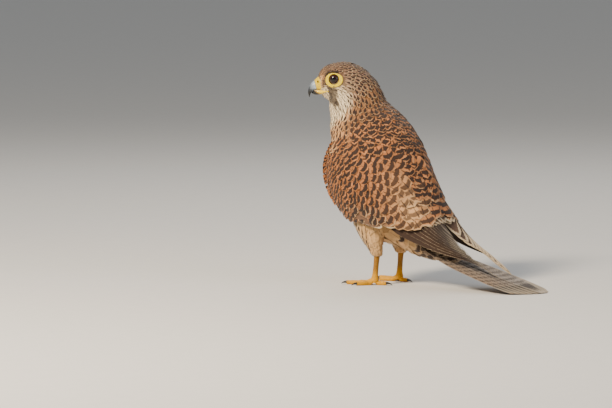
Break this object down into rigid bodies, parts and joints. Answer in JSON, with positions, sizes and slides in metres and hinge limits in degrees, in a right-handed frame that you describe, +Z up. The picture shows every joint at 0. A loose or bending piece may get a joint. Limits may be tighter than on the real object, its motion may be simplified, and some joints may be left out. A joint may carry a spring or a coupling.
{
  "type": "common kestrel",
  "caption": "Standing common kestrel, female-type plumage, with folded wings, head turned to its left and tail laid at floor level.",
  "frame": {"origin": "middle of the bounding box, at floor level under the bird", "axes": "+Z up; the bird faces -Y with its tail towards +Y; +X is the bird's left"},
  "size_m": [0.0976, 0.2618, 0.2209],
  "materials": {
    "crown_plumage": "soft matt plumage with dark streaks",
    "body_plumage": "soft matt plumage with dark bars and streaks",
    "wing_plumage": "smooth matt plumage with pale edges",
    "tail_plumage": "smooth matt plumage with dark bars",
    "thigh_plumage": "soft matt plumage",
    "yellow_skin": "scaly, slightly waxy skin",
    "bill_horn": "polished horn, pale at the base",
    "claw_horn": "polished black horn",
    "eye": "wet and very dark brown"
  },
  "bodies": {
    "root": {"head": "crown_plumage", "cere": "yellow_skin", "bill_upper": "bill_horn", "bill_lower": "bill_horn", "neck": "body_plumage", "torso": "body_plumage", "tail": "tail_plumage", "eye_left": "eye", "wing_left": "wing_plumage", "thigh_left": "thigh_plumage", "shank_left": "yellow_skin", "foot_left": "yellow_skin", "claw_inner_left": "claw_horn", "claw_middle_left": "claw_horn", "claw_outer_left": "claw_horn", "claw_hind_left": "claw_horn", "eye_right": "eye", "wing_right": "wing_plumage", "thigh_right": "thigh_plumage", "shank_right": "yellow_skin", "foot_right": "yellow_skin", "claw_inner_right": "claw_horn", "claw_middle_right": "claw_horn", "claw_outer_right": "claw_horn", "claw_hind_right": "claw_horn"}
  },
  "joints": []
}
